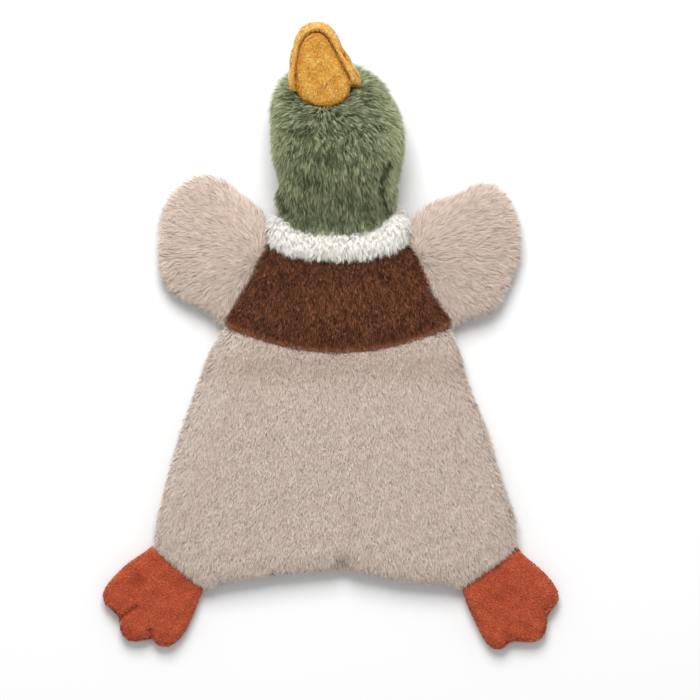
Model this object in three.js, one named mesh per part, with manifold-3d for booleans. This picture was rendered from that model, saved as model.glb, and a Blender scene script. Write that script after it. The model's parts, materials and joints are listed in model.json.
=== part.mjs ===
// A flat plush duck, lying on its back: a stuffed head, a floppy body of sewn pads, wings and feet.
// Units are millimetres. +X is the viewer's right, +Y runs from the feet to the beak, +Z is up.
// The origin is on the flat back of the body, on the duck's centre line.
import * as THREE from 'three';
import { mergeVertices } from 'three/addons/utils/BufferGeometryUtils.js';
import Module from 'manifold-3d';

const solids = await Module();
solids.setup();

// Clearances and cloth
const gap = 0.3; // between two pieces that touch
const foldGap = 0.4; // between two pieces that fold against each other
const furCloth = 7; // backing cloth and flattened pile
const wingCloth = 5.8; // the same cloth, pressed flatter
const velourCloth = 2.6; // backing cloth and short pile
const rim = 1.2; // least half thickness of a pad, at its sewn rim
const overrun = 5; // how far a cutter runs past what it cuts

// Body: a pad of two fur panels over a crinkle sheet
const waistRise = 67; // from the origin up to the lowest point of the waist seam
const waistHalf = 71; // half the waist seam's span
const waistSag = 17; // how far the waist seam's middle hangs below its ends
const bodyDrop = 139.4; // from the waist seam down to the hem
const bodyHalf = 117; // half the hem's span
const bodyHeight = 17;
const bodySeamHeight = 8.5;
const bodyRoll = 13; // how far in from a free edge the pad reaches its full height
const bodyDipShare = 0.3; // how much of its height the pad loses where it is sewn on
const sheetThickness = 0.8;

// Chest
const chestRise = 56.7; // from the waist seam to the collar seam, on the centre line
const collarHalf = 43; // half the collar seam's span
const collarSag = 12;
const chestHeight = 19.5;
const chestSeamHeight = 8.5;
const chestRoll = 10;
const chestDipShare = 0.42;

// Collar
const collarRise = 18; // from the collar seam to the neck seam, on the centre line
const collarHeight = 23.5;
const collarSeamHeight = 9.5;
const collarTipHalf = 44.5; // half the collar's span where it is widest
const collarRoll = 7;
const collarDipShare = 0.18;
const collarCentreShare = 0.42; // of collarRise, up from the collar seam's low point
const neckHalf = 38.2;
const neckSag = 11;

// Head
const headLength = 107; // from the neck seam to the forehead
const headHalf = 42;
const headHeight = 56;
const headRoll = 27;
const headUnderRoll = 20;
const eyeRadius = 4.6;
const eyeAlongShare = 0.64; // of headLength
const eyeAcrossShare = 0.92; // of headHalf
const eyeDroop = THREE.MathUtils.degToRad(32); // how far an eye looks down from level
const eyeDome = 3.2;
const eyeSeat = 3.4; // how deep an eye sits in the pile
const stemRadius = 1.4;
const washerRadius = 6.5;
const washerThickness = 1.2;
const squeakerAlongShare = 0.5; // of headLength
const squeakerRadius = 17;
const squeakerHeight = 15;
const squeakerWall = 1.2;
const reedRadius = 4;
const reedHeight = 6;

// Beak
const billLength = 52.5; // from the chin to the tip, along the beak
const billHalf = 23.2; // half the widest breadth
const billHeight = 11;
const billRoll = 5;
const billTilt = THREE.MathUtils.degToRad(8); // tip up
const billTurn = THREE.MathUtils.degToRad(5); // tip to the left
const billSide = -9; // centre of the beak's root, across the head
const billSink = 24.5; // from the forehead back to the chin end of the beak
const billRootHeight = 41; // mid plane of the beak, at the chin end
const billRootLine = -2; // from the chin seam to the upper beak's root edge, inside the fur
const jawHalf = 17.6;
const jawLength = 45.8;
const jawHeight = 6;
const jawRoll = 4;
const jawPocket = 3.6; // depth of the tray that holds the jaw
const jawClearance = 0.6;

// Wings
const wingSpread = 71; // from the root seam to the wing's outer edge
const wingHeight = 16;
const wingSeamHeight = 7.5;
const wingRoll = 9;
const wingDipShare = 0.5;
const wingDip = 13.5; // how far in from the root seam the wing reaches its full height

// Feet
const footLength = 58;
const footHeight = 11;
const footSeamHeight = 5.5;
const footRoll = 5;
const footDipShare = 0.15;

// Steps along outlines and from rims to crowns
const ringShares = [1, 0.955, 0.87, 0.7, 0.4];
const flatRingShares = [1];
const innerRingShares = [1, 0.75];
const headSeamRingShares = [1, 0.8, 0.5];
const roundSteps = 16;
const domeSteps = 3;

// Outlines, as shares chosen by eye of the sizes named beside them

// share of bodyHalf across, share of bodyDrop down from the waist seam
const bodyLeftShares = [[-0.652, -0.1], [-0.71, 0.01], [-0.8, 0.215], [-0.868, 0.37], [-0.942, 0.6],
  [-0.99, 0.755], [-1.017, 0.82]];
const leftFootSeamShares = [[-1.002, 0.885], [-0.722, 1.078]];
const hemShares = [[-0.5, 1.045], [-0.26, 1.018], [-0.08, 1.003], [0.09, 1.006], [0.26, 1.046],
  [0.42, 1.056], [0.56, 1.075]];
const rightFootSeamShares = [[0.668, 1.074], [0.972, 0.887]];
const bodyRightShares = [[0.99, 0.82], [0.942, 0.69], [0.885, 0.553], [0.847, 0.43], [0.767, 0.253],
  [0.69, 0.09], [0.655, -0.06]];

// share of headHalf across, share of headLength up from the neck seam
const headLeftShares = [[-0.985, 0.18], [-0.945, 0.26], [-0.925, 0.33], [-0.985, 0.45], [-1, 0.56],
  [-1.01, 0.67], [-0.995, 0.77], [-0.93, 0.86], [-0.78, 0.94], [-0.45, 0.99]];
const headRightShares = [[-0.05, 1.01], [0.33, 0.985], [0.64, 0.915], [0.81, 0.81], [0.94, 0.69],
  [1, 0.57], [0.975, 0.45], [0.92, 0.33], [0.86, 0.255], [0.9, 0.18]];

// heights along the head, as shares of headLength and of headHeight
const headCrownShares = [[0, 0.4], [0.12, 0.55], [0.28, 0.84], [0.45, 0.99], [0.6, 0.985], [0.74, 0.87],
  [0.86, 0.68], [1.02, 0.46]];
const headSeamShares = [[0, 0.19], [0.2, 0.33], [0.42, 0.47], [0.62, 0.45], [0.82, 0.34], [1.02, 0.26]];

// share of collarTipHalf across, share of collarRise up from the collar seam's low point
const collarLeftShares = [[-0.985, 1.3], [-1.005, 1.1], [-0.975, 0.82]];
const collarRightShares = [[0.975, 0.82], [1.005, 1.1], [0.985, 1.34]];

// share of the chest's side along the root seam, share of wingSpread out from it
const leftWingShares = [[0.01, 0.12], [0.01, 0.3], [0, 0.5], [0.04, 0.64], [0.16, 0.75], [0.37, 0.86],
  [0.6, 0.965], [0.8, 1], [0.99, 0.985], [1.16, 0.91], [1.3, 0.79], [1.37, 0.61], [1.35, 0.46],
  [1.32, 0.29], [1.24, 0.18], [1.1, 0.11]];
const rightWingShares = [[-0.03, 0.12], [-0.1, 0.28], [-0.1, 0.44], [0, 0.56], [0.1, 0.67], [0.23, 0.8],
  [0.44, 0.93], [0.65, 1], [0.84, 1.005], [1.02, 0.985], [1.17, 0.895], [1.22, 0.68], [1.26, 0.5],
  [1.25, 0.32], [1.2, 0.19], [1.09, 0.11]];

// share of the foot seam along it from the outer end, share of footLength out from it
const leftFootShares = [[-0.04, 0.12], [-0.13, 0.36], [-0.165, 0.62], [-0.13, 0.78], [0, 0.85],
  [0.12, 0.845], [0.27, 0.86], [0.36, 0.915], [0.49, 0.99], [0.6, 1], [0.72, 0.95], [0.87, 0.825],
  [0.99, 0.825], [1.11, 0.8], [1.18, 0.71], [1.2, 0.555], [1.14, 0.35], [1.04, 0.12]];
const rightFootShares = [[0.01, 0.1], [-0.05, 0.28], [-0.1, 0.5], [-0.08, 0.7], [-0.02, 0.76],
  [0.13, 0.8], [0.25, 0.84], [0.43, 0.975], [0.55, 0.99], [0.68, 0.95], [0.81, 0.855], [0.89, 0.82],
  [1.03, 0.83], [1.12, 0.81], [1.18, 0.74], [1.19, 0.62], [1.15, 0.44], [1.08, 0.18]];

// share of billHalf across, share of billLength up from the chin
const billShares = [[-0.91, 0.19], [-0.93, 0.31], [-0.87, 0.45], [-0.8, 0.6], [-0.72, 0.72], [-0.62, 0.84],
  [-0.46, 0.945], [-0.23, 0.99], [0.03, 1], [0.27, 0.965], [0.45, 0.89], [0.57, 0.765], [0.68, 0.635],
  [0.82, 0.51], [0.96, 0.38], [1.08, 0.265], [1.08, 0.165]];
const billRootShares = [1.06, -0.9]; // share of billHalf across, at the right and left end
// share of jawHalf across, share of jawLength up from the chin
const jawShares = [[-0.54, 0.035], [-0.86, 0.13], [-0.93, 0.25], [-0.89, 0.415], [-0.81, 0.61],
  [-0.72, 0.75], [-0.55, 0.9], [-0.28, 0.98], [0.03, 1], [0.24, 0.945], [0.38, 0.85], [0.53, 0.705],
  [0.7, 0.545], [0.85, 0.4], [0.98, 0.27], [0.98, 0.14], [0.74, 0.04], [0.4, -0.005], [-0.04, -0.015]];

// Places that follow from the sizes
const collarLow = waistRise + chestRise;
const neckLow = collarLow + collarRise;
const waistEnd = waistRise + waistSag;
const collarEnd = collarLow + collarSag;
const headFront = neckLow + headLength;

// Outline helpers: a span is a run of points that is either sewn to a neighbour or free

function smoothRun(points, steps) {
  const places = points.map(([x, y]) => new THREE.Vector3(x, y, 0));
  const curve = new THREE.CatmullRomCurve3(places, false, 'centripetal');
  return curve.getSpacedPoints(steps).map((p) => [p.x, p.y]);
}

// A seam that sags like a hung thread, from right to left or from left to right
function seamRun(half, low, sag, shift, steps, leftward) {
  const points = [];
  for (let i = 0; i <= steps; i += 1) {
    const along = (leftward ? 1 : -1) * (1 - (2 * i) / steps);
    points.push([half * along, low + sag * along * along + shift]);
  }
  return points;
}

// The centre has to see the whole outline: it is the mean point, unless one is given
function outlineOf(spans, given) {
  const points = [];
  const sewn = [];
  for (const span of spans) {
    for (const point of span.points) {
      const last = points[points.length - 1];
      if (last && Math.hypot(point[0] - last[0], point[1] - last[1]) < gap) {
        sewn[sewn.length - 1] = span.sewn;
        continue;
      }
      points.push(point);
      sewn.push(span.sewn);
    }
    sewn[sewn.length - 1] = false;
  }
  const last = points[points.length - 1];
  if (Math.hypot(last[0] - points[0][0], last[1] - points[0][1]) < gap) {
    points.pop();
    sewn.pop();
  }
  const area = THREE.ShapeUtils.area(points.map(([x, y]) => ({ x, y })));
  if (area < 0) {
    points.reverse();
    sewn.reverse();
    sewn.push(sewn.shift());
  }
  const mean = [0, 1].map((k) => points.reduce((sum, p) => sum + p[k], 0) / points.length);
  const centre = given ?? mean;
  return { points, sewn, centre };
}

// The outline drawn in towards its centre
function drawnIn(outline, by) {
  const [cx, cy] = outline.centre;
  const points = outline.points.map(([x, y]) => {
    const keep = 1 - by / Math.hypot(x - cx, y - cy);
    return [cx + (x - cx) * keep, cy + (y - cy) * keep];
  });
  return { ...outline, points };
}

function distanceToEdge(outline, x, y, sewn) {
  let least = Infinity;
  outline.points.forEach(([ax, ay], i) => {
    if (outline.sewn[i] !== sewn) {
      return;
    }
    const [bx, by] = outline.points[(i + 1) % outline.points.length];
    const length2 = (bx - ax) ** 2 + (by - ay) ** 2;
    const t = THREE.MathUtils.clamp(((x - ax) * (bx - ax) + (y - ay) * (by - ay)) / length2, 0, 1);
    least = Math.min(least, Math.hypot(x - ax - t * (bx - ax), y - ay - t * (by - ay)));
  });
  return least;
}

// A quarter of an ellipse: 0 at the rim, 1 where the pad has its full height
function swell(distance, roll) {
  const t = Math.min(distance / roll, 1);
  return Math.sqrt(1 - (1 - t) ** 2);
}

// A height curve along Y from a table of shares
function heightAlong(shares, start, length, height) {
  return (x, y) => {
    const at = (y - start) / length;
    const next = shares.findIndex(([share]) => share >= at);
    if (next <= 0) {
      return height * (next === 0 ? shares[0][1] : shares[shares.length - 1][1]);
    }
    const [a0, h0] = shares[next - 1];
    const [a1, h1] = shares[next];
    const even = (at - a0) / (a1 - a0);
    const eased = THREE.MathUtils.smoothstep(at, a0, a1);
    return height * THREE.MathUtils.lerp(h0, h1, (even + eased) / 2);
  };
}

// A pad: its outline, the height of its seam plane, of its crown and how its edges turn down.
// Where it is sewn on to a neighbour it keeps most of its height and only dips a little.
function padOf(outline, sizes) {
  const { seam, crown, roll, dipShare = 0, dipWidth = roll, underRoll = roll } = sizes;
  const halfAt = (x, y, full, edgeRoll) => {
    const free = distanceToEdge(outline, x, y, false);
    const sewn = distanceToEdge(outline, x, y, true);
    const dip = 1 - dipShare * (1 - THREE.MathUtils.smoothstep(sewn, 0, dipWidth));
    return rim + Math.max(full - rim, 0) * swell(free, edgeRoll) * dip;
  };
  const top = (x, y) => seam(x, y) + halfAt(x, y, crown(x, y) - seam(x, y), roll);
  const bottom = (x, y) => {
    const free = distanceToEdge(outline, x, y, false);
    return seam(x, y) - rim - (seam(x, y) - rim) * swell(free, underRoll);
  };
  return { outline, seam, top, bottom };
}

// A closed solid between two height functions, on rings drawn in from its outline
function layer(outline, top, bottom, topShares, bottomShares) {
  const count = outline.points.length;
  const [cx, cy] = outline.centre;
  const position = [];
  const index = [];
  const addRings = (shares, height) => {
    const first = position.length / 3;
    for (const share of shares) {
      for (const [px, py] of outline.points) {
        const x = cx + (px - cx) * share;
        const y = cy + (py - cy) * share;
        position.push(x, y, height(x, y));
      }
    }
    position.push(cx, cy, height(cx, cy));
    return first;
  };
  const addFaces = (first, shares, up) => {
    const apex = first + shares.length * count;
    const face = (a, b, c) => (up ? index.push(a, b, c) : index.push(a, c, b));
    for (let i = 0; i < count; i += 1) {
      const j = (i + 1) % count;
      for (let ring = 0; ring + 1 < shares.length; ring += 1) {
        const outer = first + ring * count;
        const inner = outer + count;
        face(outer + i, outer + j, inner + j);
        face(outer + i, inner + j, inner + i);
      }
      const last = apex - count;
      face(last + i, last + j, apex);
    }
  };
  const topFirst = addRings(topShares, top);
  const bottomFirst = addRings(bottomShares, bottom);
  addFaces(topFirst, topShares, true);
  addFaces(bottomFirst, bottomShares, false);
  for (let i = 0; i < count; i += 1) {
    const j = (i + 1) % count;
    index.push(bottomFirst + i, bottomFirst + j, topFirst + j);
    index.push(bottomFirst + i, topFirst + j, topFirst + i);
  }
  const geometry = new THREE.BufferGeometry();
  geometry.setAttribute('position', new THREE.Float32BufferAttribute(position, 3));
  geometry.setIndex(index);
  return geometry;
}

// Joining and cutting

function solidOf(geometry) {
  const bare = geometry.clone();
  bare.deleteAttribute('normal');
  bare.deleteAttribute('uv');
  const merged = mergeVertices(bare);
  const vertProperties = new Float32Array(merged.attributes.position.array);
  const triVerts = new Uint32Array(merged.index.array);
  return new solids.Manifold(new solids.Mesh({ numProp: 3, vertProperties, triVerts }));
}

function geometryOf(solid) {
  const { vertProperties, triVerts, numProp } = solid.getMesh();
  const position = [];
  for (let i = 0; i < vertProperties.length; i += numProp) {
    position.push(vertProperties[i], vertProperties[i + 1], vertProperties[i + 2]);
  }
  const geometry = new THREE.BufferGeometry();
  geometry.setAttribute('position', new THREE.Float32BufferAttribute(position, 3));
  geometry.setIndex(Array.from(triVerts));
  geometry.computeVertexNormals();
  return geometry;
}

function cut(geometry, ...cutters) {
  return geometryOf(cutters.reduce((left, cutter) => left.subtract(solidOf(cutter)), solidOf(geometry)));
}

// The two panels of a pad, and the filling between them, each clear of the others by the gap
function panelsOf(pad, cloth, seamShares = flatRingShares) {
  const { outline, seam, top, bottom } = pad;
  const inner = drawnIn(outline, cloth);
  const hollowTop = (x, y) => Math.max(top(x, y) - cloth, seam(x, y) + rim);
  const hollowBottom = (x, y) => Math.min(bottom(x, y) + cloth, seam(x, y) - rim);
  const past = (height, by) => (x, y) => height(x, y) + by;
  const front = layer(outline, top, past(seam, gap / 2), ringShares, seamShares);
  const back = layer(outline, past(seam, -gap / 2), bottom, seamShares, ringShares);
  const frontHollow = layer(inner, hollowTop, past(seam, -cloth), innerRingShares, flatRingShares);
  const backHollow = layer(inner, past(seam, cloth), hollowBottom, flatRingShares, innerRingShares);
  const small = drawnIn(outline, cloth + gap);
  const filling = layer(small, past(hollowTop, -gap), past(hollowBottom, gap), innerRingShares,
    innerRingShares);
  return { front: cut(front, frontHollow), back: cut(back, backHollow), filling };
}

// Materials
const cloths = {
  greenFur: { color: '#6f7a56', roughness: 0.95 },
  whiteFur: { color: '#efece2', roughness: 0.95 },
  brownFur: { color: '#5b3725', roughness: 0.95 },
  taupeFur: { color: '#c5b2a5', roughness: 0.95 },
  yellowVelour: { color: '#d39e4e', roughness: 0.9 },
  rustVelour: { color: '#b15236', roughness: 0.9 },
  polyesterFibre: { color: '#f2f1ec', roughness: 1 },
  crinkleFilm: { color: '#dfe4e6', roughness: 0.4 },
  whitePlastic: { color: '#e8e8e4', roughness: 0.45 },
  blackPlastic: { color: '#15120f', roughness: 0.15 },
};

const duck = new THREE.Group();

function addPiece(name, geometry, cloth, parent = duck) {
  const material = new THREE.MeshStandardMaterial({ ...cloths[cloth], metalness: 0 });
  const mesh = new THREE.Mesh(geometry, material);
  mesh.name = name;
  parent.add(mesh);
  return mesh;
}

const level = (height) => () => height;

function scaled(shares, across, up, originY) {
  return shares.map(([x, y]) => [x * across, originY + y * up]);
}

// Body: front and back fur panels, with a crinkle sheet between them
function addBody() {
  const spot = (shares) => scaled(shares, bodyHalf, -bodyDrop, waistRise);
  const waist = seamRun(waistHalf, waistRise, waistSag, -foldGap / 2, 10, true);
  const outline = outlineOf([
    { points: smoothRun([waist[waist.length - 1], ...spot(bodyLeftShares),
      spot(leftFootSeamShares)[0]], 8), sewn: false },
    { points: smoothRun(spot(leftFootSeamShares), 2), sewn: true },
    { points: smoothRun([spot(leftFootSeamShares)[1], ...spot(hemShares),
      spot(rightFootSeamShares)[0]], 8), sewn: false },
    { points: smoothRun(spot(rightFootSeamShares), 2), sewn: true },
    { points: smoothRun([spot(rightFootSeamShares)[1], ...spot(bodyRightShares), waist[0]], 8),
      sewn: false },
    { points: waist, sewn: true },
  ]);
  const pad = padOf(outline, { seam: level(bodySeamHeight), crown: level(bodyHeight), roll: bodyRoll,
    dipShare: bodyDipShare });
  const { front, back } = panelsOf(pad, furCloth);
  const sheetOutline = drawnIn(outline, furCloth + gap);
  const sheet = layer(sheetOutline, level(bodySeamHeight + sheetThickness / 2),
    level(bodySeamHeight - sheetThickness / 2), flatRingShares, flatRingShares);
  addPiece('body_front', front, 'taupeFur');
  addPiece('body_back', back, 'taupeFur');
  addPiece('body_crinkle_sheet', sheet, 'crinkleFilm');
}

// Chest: two fur panels with thin wadding, between the waist seam and the collar seam
function addChest() {
  const waist = seamRun(waistHalf, waistRise, waistSag, foldGap / 2, 10, false);
  const collar = seamRun(collarHalf, collarLow, collarSag, -gap / 2, 8, true);
  const outline = outlineOf([
    { points: waist, sewn: true },
    { points: smoothRun([waist[waist.length - 1], collar[0]], 4), sewn: true },
    { points: collar, sewn: true },
    { points: smoothRun([collar[collar.length - 1], waist[0]], 4), sewn: true },
  ]);
  const pad = padOf(outline, { seam: level(chestSeamHeight), crown: level(chestHeight), roll: chestRoll,
    dipShare: chestDipShare });
  const { front, back, filling } = panelsOf(pad, furCloth);
  addPiece('chest_front', front, 'brownFur');
  addPiece('chest_back', back, 'brownFur');
  addPiece('chest_wadding', filling, 'polyesterFibre');
}

// Collar: a fluffy band, one piece in front and one behind
function addCollar() {
  const spot = (shares) => scaled(shares, collarTipHalf, collarRise, collarLow);
  const lower = seamRun(collarHalf - gap, collarLow, collarSag, gap / 2, 8, false);
  const upper = seamRun(neckHalf + gap, neckLow, neckSag, -foldGap / 2, 8, true);
  const outline = outlineOf([
    { points: lower, sewn: true },
    { points: smoothRun([lower[lower.length - 1], ...spot(collarRightShares), upper[0]], 5), sewn: false },
    { points: upper, sewn: true },
    { points: smoothRun([upper[upper.length - 1], ...spot(collarLeftShares), lower[0]], 5), sewn: false },
  ], [0, collarLow + collarRise * collarCentreShare]);
  const pad = padOf(outline, { seam: level(collarSeamHeight), crown: level(collarHeight),
    roll: collarRoll, dipShare: collarDipShare });
  const front = layer(outline, pad.top, level(collarSeamHeight + gap / 2), ringShares, flatRingShares);
  const back = layer(outline, level(collarSeamHeight - gap / 2), pad.bottom, flatRingShares, ringShares);
  addPiece('collar_front', front, 'whiteFur');
  addPiece('collar_back', back, 'whiteFur');
}

// Wings: each swings on the straight seam between the waist's end and the collar's end
function addWing(side, sign, shares) {
  const root = new THREE.Vector2(sign * waistHalf, waistEnd);
  const end = new THREE.Vector2(sign * collarHalf, collarEnd);
  const along = end.clone().sub(root);
  const out = new THREE.Vector2(sign * along.y, -sign * along.x).normalize();
  const place = (a, v) => [root.x + along.x * a + out.x * v, root.y + along.y * a + out.y * v];
  const low = place(0, foldGap);
  const high = place(1, foldGap);
  const free = shares.map(([a, v]) => place(a, v * wingSpread));
  const outline = outlineOf([
    { points: smoothRun([high, low], 3), sewn: true },
    { points: smoothRun([low, ...free, high], 21), sewn: false },
  ]);
  const pad = padOf(outline, { seam: level(wingSeamHeight), crown: level(wingHeight), roll: wingRoll,
    dipShare: wingDipShare, dipWidth: wingDip });
  const { front, back, filling } = panelsOf(pad, wingCloth);
  addPiece(`${side}_wing_front`, front, 'taupeFur');
  addPiece(`${side}_wing_back`, back, 'taupeFur');
  addPiece(`${side}_wing_wadding`, filling, 'polyesterFibre');
}

// Feet: three-toed velour pads, each sewn into a corner of the hem
function addFoot(side, sign, seamShares, shares) {
  const ends = scaled(seamShares, bodyHalf, -bodyDrop, waistRise).map(([x, y]) => new THREE.Vector2(x, y));
  const [outer, inner] = sign < 0 ? ends : [ends[1], ends[0]];
  const along = inner.clone().sub(outer);
  const out = new THREE.Vector2(-sign * along.y, sign * along.x).normalize();
  const place = (a, v) => [outer.x + along.x * a + out.x * v, outer.y + along.y * a + out.y * v];
  const start = place(0, foldGap);
  const finish = place(1, foldGap);
  const free = shares.map(([a, v]) => place(a, v * footLength));
  const outline = outlineOf([
    { points: smoothRun([start, ...free, finish], 27), sewn: false },
    { points: smoothRun([finish, start], 2), sewn: true },
  ]);
  const pad = padOf(outline, { seam: level(footSeamHeight), crown: level(footHeight), roll: footRoll,
    dipShare: footDipShare });
  const { front, back, filling } = panelsOf(pad, velourCloth);
  addPiece(`${side}_foot_top`, front, 'rustVelour');
  addPiece(`${side}_foot_sole`, back, 'rustVelour');
  addPiece(`${side}_foot_wadding`, filling, 'polyesterFibre');
}

// Head: chin and crown panels round a stuffed core
function headPad(grow) {
  const spot = (shares) => scaled(shares, headHalf, headLength, neckLow);
  const neck = seamRun(neckHalf, neckLow, neckSag, foldGap / 2, 8, false);
  const outline = outlineOf([
    { points: neck, sewn: true },
    { points: smoothRun([neck[neck.length - 1], ...[...spot(headRightShares)].reverse(),
      ...[...spot(headLeftShares)].reverse(), neck[0]], 28), sewn: false },
  ]);
  const seam = heightAlong(headSeamShares, neckLow, headLength, headHeight);
  const crown = heightAlong(headCrownShares, neckLow, headLength, headHeight);
  const pad = padOf(outline, { seam, crown, roll: headRoll, underRoll: headUnderRoll });
  if (grow === 0) {
    return pad;
  }
  return { ...pad, outline: drawnIn(outline, -grow), top: (x, y) => pad.top(x, y) + grow,
    bottom: (x, y) => pad.bottom(x, y) - grow };
}

// A turned piece whose axis lies along a direction, from a profile of radius and height
function turned(profile, place, direction) {
  const geometry = new THREE.LatheGeometry(profile.map(([r, h]) => new THREE.Vector2(r, h)), roundSteps);
  const turn = new THREE.Quaternion().setFromUnitVectors(new THREE.Vector3(0, 1, 0), direction);
  geometry.applyQuaternion(turn);
  geometry.translate(place.x, place.y, place.z);
  return geometry;
}

function rod(radius, from, to, place, direction) {
  return turned([[0, from], [radius, from], [radius, to], [0, to]], place, direction);
}

// Eyes: domed buttons on stems, held inside the crown panel by washers
function eyeSet(pad, sign) {
  const y = neckLow + headLength * eyeAlongShare;
  const x = sign * headHalf * eyeAcrossShare;
  const direction = new THREE.Vector3(sign * Math.cos(eyeDroop), 0, -Math.sin(eyeDroop));
  const place = new THREE.Vector3(x, y, pad.bottom(x, y));
  const seat = -eyeSeat;
  const washerTop = -furCloth - gap;
  const washerLow = washerTop - washerThickness;
  const stemEnd = washerLow - washerThickness;
  const button = [[0, stemEnd], [stemRadius, stemEnd], [stemRadius, seat], [eyeRadius, seat]];
  for (let i = 1; i < domeSteps; i += 1) {
    const turn = (i / domeSteps) * (Math.PI / 2);
    button.push([eyeRadius * Math.cos(turn), seat + eyeDome * Math.sin(turn)]);
  }
  button.push([0, seat + eyeDome]);
  const hole = stemRadius + gap;
  const washer = [[hole, washerLow], [washerRadius, washerLow], [washerRadius, washerTop],
    [hole, washerTop], [hole, washerLow]];
  return {
    eye: turned(button, place, direction),
    washer: turned(washer, place, direction),
    panelCuts: [rod(eyeRadius + gap, seat - gap, eyeSeat + overrun, place, direction),
      rod(hole, -furCloth - overrun, overrun, place, direction),
      rod(washerRadius + gap, washerLow - gap, washerTop + gap, place, direction)],
    coreCuts: [rod(washerRadius + gap, stemEnd - gap, overrun, place, direction)],
  };
}

// Squeaker: a moulded puck with a reed in its mouth, held in a pocket of the stuffing
function squeakerSet(pad) {
  const y = neckLow + headLength * squeakerAlongShare;
  const up = new THREE.Vector3(0, 0, 1);
  const place = new THREE.Vector3(0, y, pad.bottom(0, y) + furCloth + gap);
  const mouth = reedRadius + gap;
  const innerRadius = squeakerRadius - squeakerWall;
  const roof = squeakerHeight - squeakerWall;
  const shell = [[0, 0], [innerRadius, 0], [squeakerRadius, squeakerWall], [squeakerRadius, roof],
    [innerRadius, squeakerHeight], [mouth, squeakerHeight], [mouth, roof],
    [innerRadius - squeakerWall, roof], [innerRadius, roof - squeakerWall],
    [innerRadius, squeakerWall * 2], [innerRadius - squeakerWall, squeakerWall], [0, squeakerWall]];
  const flange = squeakerHeight + gap;
  const reed = [[stemRadius, squeakerHeight - reedHeight], [reedRadius, squeakerHeight - reedHeight],
    [reedRadius, flange], [reedRadius + squeakerWall, flange],
    [reedRadius + squeakerWall, flange + squeakerWall], [stemRadius, flange + squeakerWall],
    [stemRadius, squeakerHeight - reedHeight]];
  const pocketTop = flange + squeakerWall + gap;
  return {
    shell: turned(shell, place, up),
    reed: turned(reed, place, up),
    pocket: rod(squeakerRadius + gap, -gap, pocketTop, place, up),
  };
}

function addHead() {
  const pad = headPad(0);
  const { front, back, filling } = panelsOf(pad, furCloth, headSeamRingShares);
  const eyes = { left: eyeSet(pad, -1), right: eyeSet(pad, 1) };
  const squeaker = squeakerSet(pad);
  const panelCuts = [...eyes.left.panelCuts, ...eyes.right.panelCuts];
  const coreCuts = [...eyes.left.coreCuts, ...eyes.right.coreCuts, squeaker.pocket];
  addPiece('head_chin_panel', cut(front, ...panelCuts), 'greenFur');
  addPiece('head_crown_panel', cut(back, ...panelCuts, squeaker.pocket), 'greenFur');
  addPiece('head_stuffing', cut(filling, ...coreCuts), 'polyesterFibre');
  addPiece('squeaker_shell', squeaker.shell, 'whitePlastic');
  addPiece('squeaker_reed', squeaker.reed, 'whitePlastic');
  for (const [side, set] of Object.entries(eyes)) {
    addPiece(`${side}_eye`, set.eye, 'blackPlastic');
    addPiece(`${side}_eye_washer`, set.washer, 'whitePlastic');
  }
}

// Beak: an upper bill with a tray, and a jaw that lies in the tray and opens on its chin seam
function addBeak() {
  const toHead = new THREE.Matrix4().makeTranslation(billSide, headFront - billSink, billRootHeight)
    .multiply(new THREE.Matrix4().makeRotationZ(billTurn))
    .multiply(new THREE.Matrix4().makeRotationX(billTilt));
  const placed = (geometry) => geometry.clone().applyMatrix4(toHead);
  const clearHead = headPad(gap);
  const head = layer(clearHead.outline, clearHead.top, clearHead.bottom, ringShares, ringShares);
  const root = billRootShares.map((share) => [share * billHalf, billRootLine]);
  const spot = (shares, half, length) => shares.map(([x, y]) => [x * half, y * length]);
  const outline = outlineOf([
    { points: smoothRun([root[1], root[0]], 3), sewn: true },
    { points: smoothRun([root[0], ...spot(billShares, billHalf, billLength).reverse(), root[1]], 20),
      sewn: false },
  ]);
  const pad = padOf(outline, { seam: level(0), crown: level(billHeight / 2), roll: billRoll });
  const under = (x, y) => -pad.top(x, y);
  const filled = drawnIn(outline, velourCloth + gap);
  const waddingHalf = billHeight / 2 - velourCloth - gap;
  const tray = outlineOf([{ points: smoothRun([...spot(jawShares, jawHalf, jawLength),
    spot(jawShares, jawHalf, jawLength)[0]], 20), sewn: false }]);
  const trayFloor = billHeight / 2 - jawPocket;
  const wide = drawnIn(tray, -jawClearance);
  const trayCut = layer(wide, level(billHeight + overrun), level(trayFloor), flatRingShares,
    flatRingShares);
  const hollow = layer(drawnIn(outline, velourCloth), level(0), level(-waddingHalf - gap),
    flatRingShares, flatRingShares);
  const palate = layer(outline, pad.top, level(gap / 2), ringShares, flatRingShares);
  const crest = layer(outline, level(-gap / 2), under, flatRingShares, ringShares);
  const wadding = layer(filled, level(-gap), level(-waddingHalf), flatRingShares, flatRingShares);
  addPiece('upper_bill_palate', cut(placed(palate), placed(trayCut), head), 'yellowVelour');
  addPiece('upper_bill_crest', cut(placed(cut(crest, hollow)), head), 'yellowVelour');
  addPiece('upper_bill_wadding', cut(placed(wadding), head), 'polyesterFibre');

  const jawFloor = trayFloor + gap;
  const jawSplit = jawFloor + velourCloth;
  const jawPad = padOf(tray, { seam: level(jawSplit), crown: level(jawFloor + jawHeight), roll: jawRoll });
  const chin = layer(tray, jawPad.top, level(jawSplit + gap / 2), ringShares, flatRingShares);
  const lining = layer(tray, level(jawSplit - gap / 2), level(jawFloor), flatRingShares, flatRingShares);
  addPiece('lower_bill_chin', cut(placed(chin), head), 'yellowVelour');
  addPiece('lower_bill_lining', cut(placed(lining), head), 'yellowVelour');
}

addBody();
addChest();
addCollar();
addWing('left', -1, leftWingShares);
addWing('right', 1, rightWingShares);
addFoot('left', -1, leftFootSeamShares, leftFootShares);
addFoot('right', 1, rightFootSeamShares, rightFootShares);
addHead();
addBeak();

export default duck;
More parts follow.
